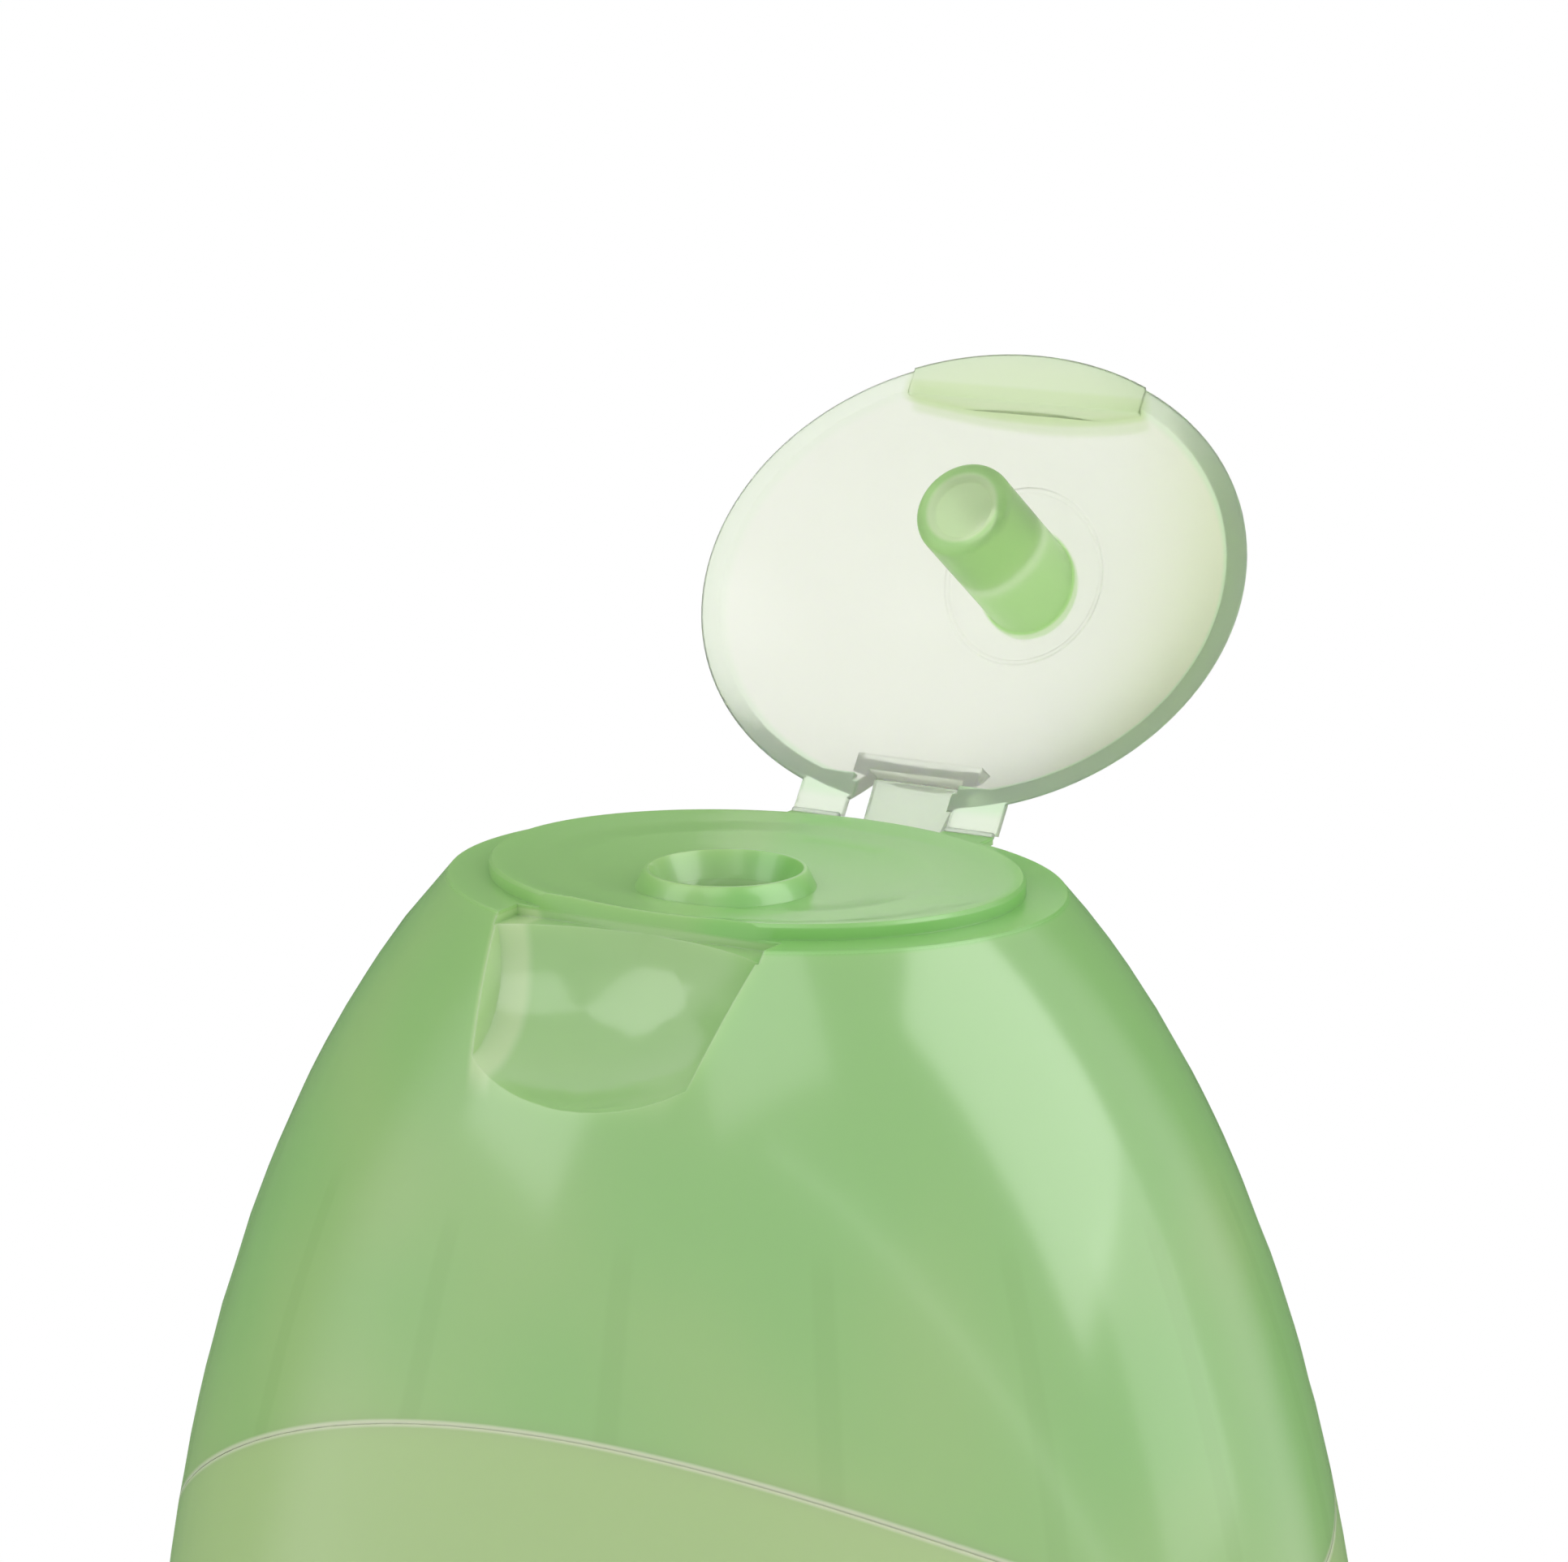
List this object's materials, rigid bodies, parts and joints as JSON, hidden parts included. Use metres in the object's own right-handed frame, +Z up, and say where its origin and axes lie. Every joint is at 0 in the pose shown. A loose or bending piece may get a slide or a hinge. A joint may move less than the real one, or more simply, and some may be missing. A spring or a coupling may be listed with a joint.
{
  "type": "body wash bottle",
  "caption": "Tall oval body wash bottle with a domed cap pressed on its neck, a scooped thumb rest and a flip lid with a plug, held by straps and a spring flap.",
  "frame": {"origin": "middle of the oval foot, on the surface that the bottle stands on", "axes": "+Z up along the bottle, -Y towards the thumb scoop at the front, +Y towards the hinge at the back, +X along the hinge line and the bottle's width"},
  "size_m": [0.0822, 0.073, 0.1965],
  "materials": {
    "bottle_plastic": "smooth blown translucent green plastic",
    "cap_plastic": "moulded translucent green plastic",
    "lid_plastic": "thin moulded translucent plastic, nearly white where light comes through"
  },
  "bodies": {
    "bottle_and_cap": {"bottle": "bottle_plastic", "cap": "cap_plastic"},
    "lid": {"lid": "lid_plastic"},
    "flap": {"spring_flap": "lid_plastic"}
  },
  "joints": [
    {"name": "lid_hinge", "type": "hinge", "parent": "bottle_and_cap", "child": "lid", "pos_m": [0, 0.01753, 0.16833], "axis": [1, 0, 0], "range_deg": [-10, 124.7]},
    {"name": "flap_hinge", "type": "hinge", "parent": "bottle_and_cap", "child": "flap", "pos_m": [0, 0.01728, 0.16563], "axis": [1, 0, 0], "range_deg": [-5.97, 74.36]}
  ],
  "couplings": [
    {"joint": "flap_hinge", "follows": "lid_hinge", "ratio": 0.59626}
  ]
}
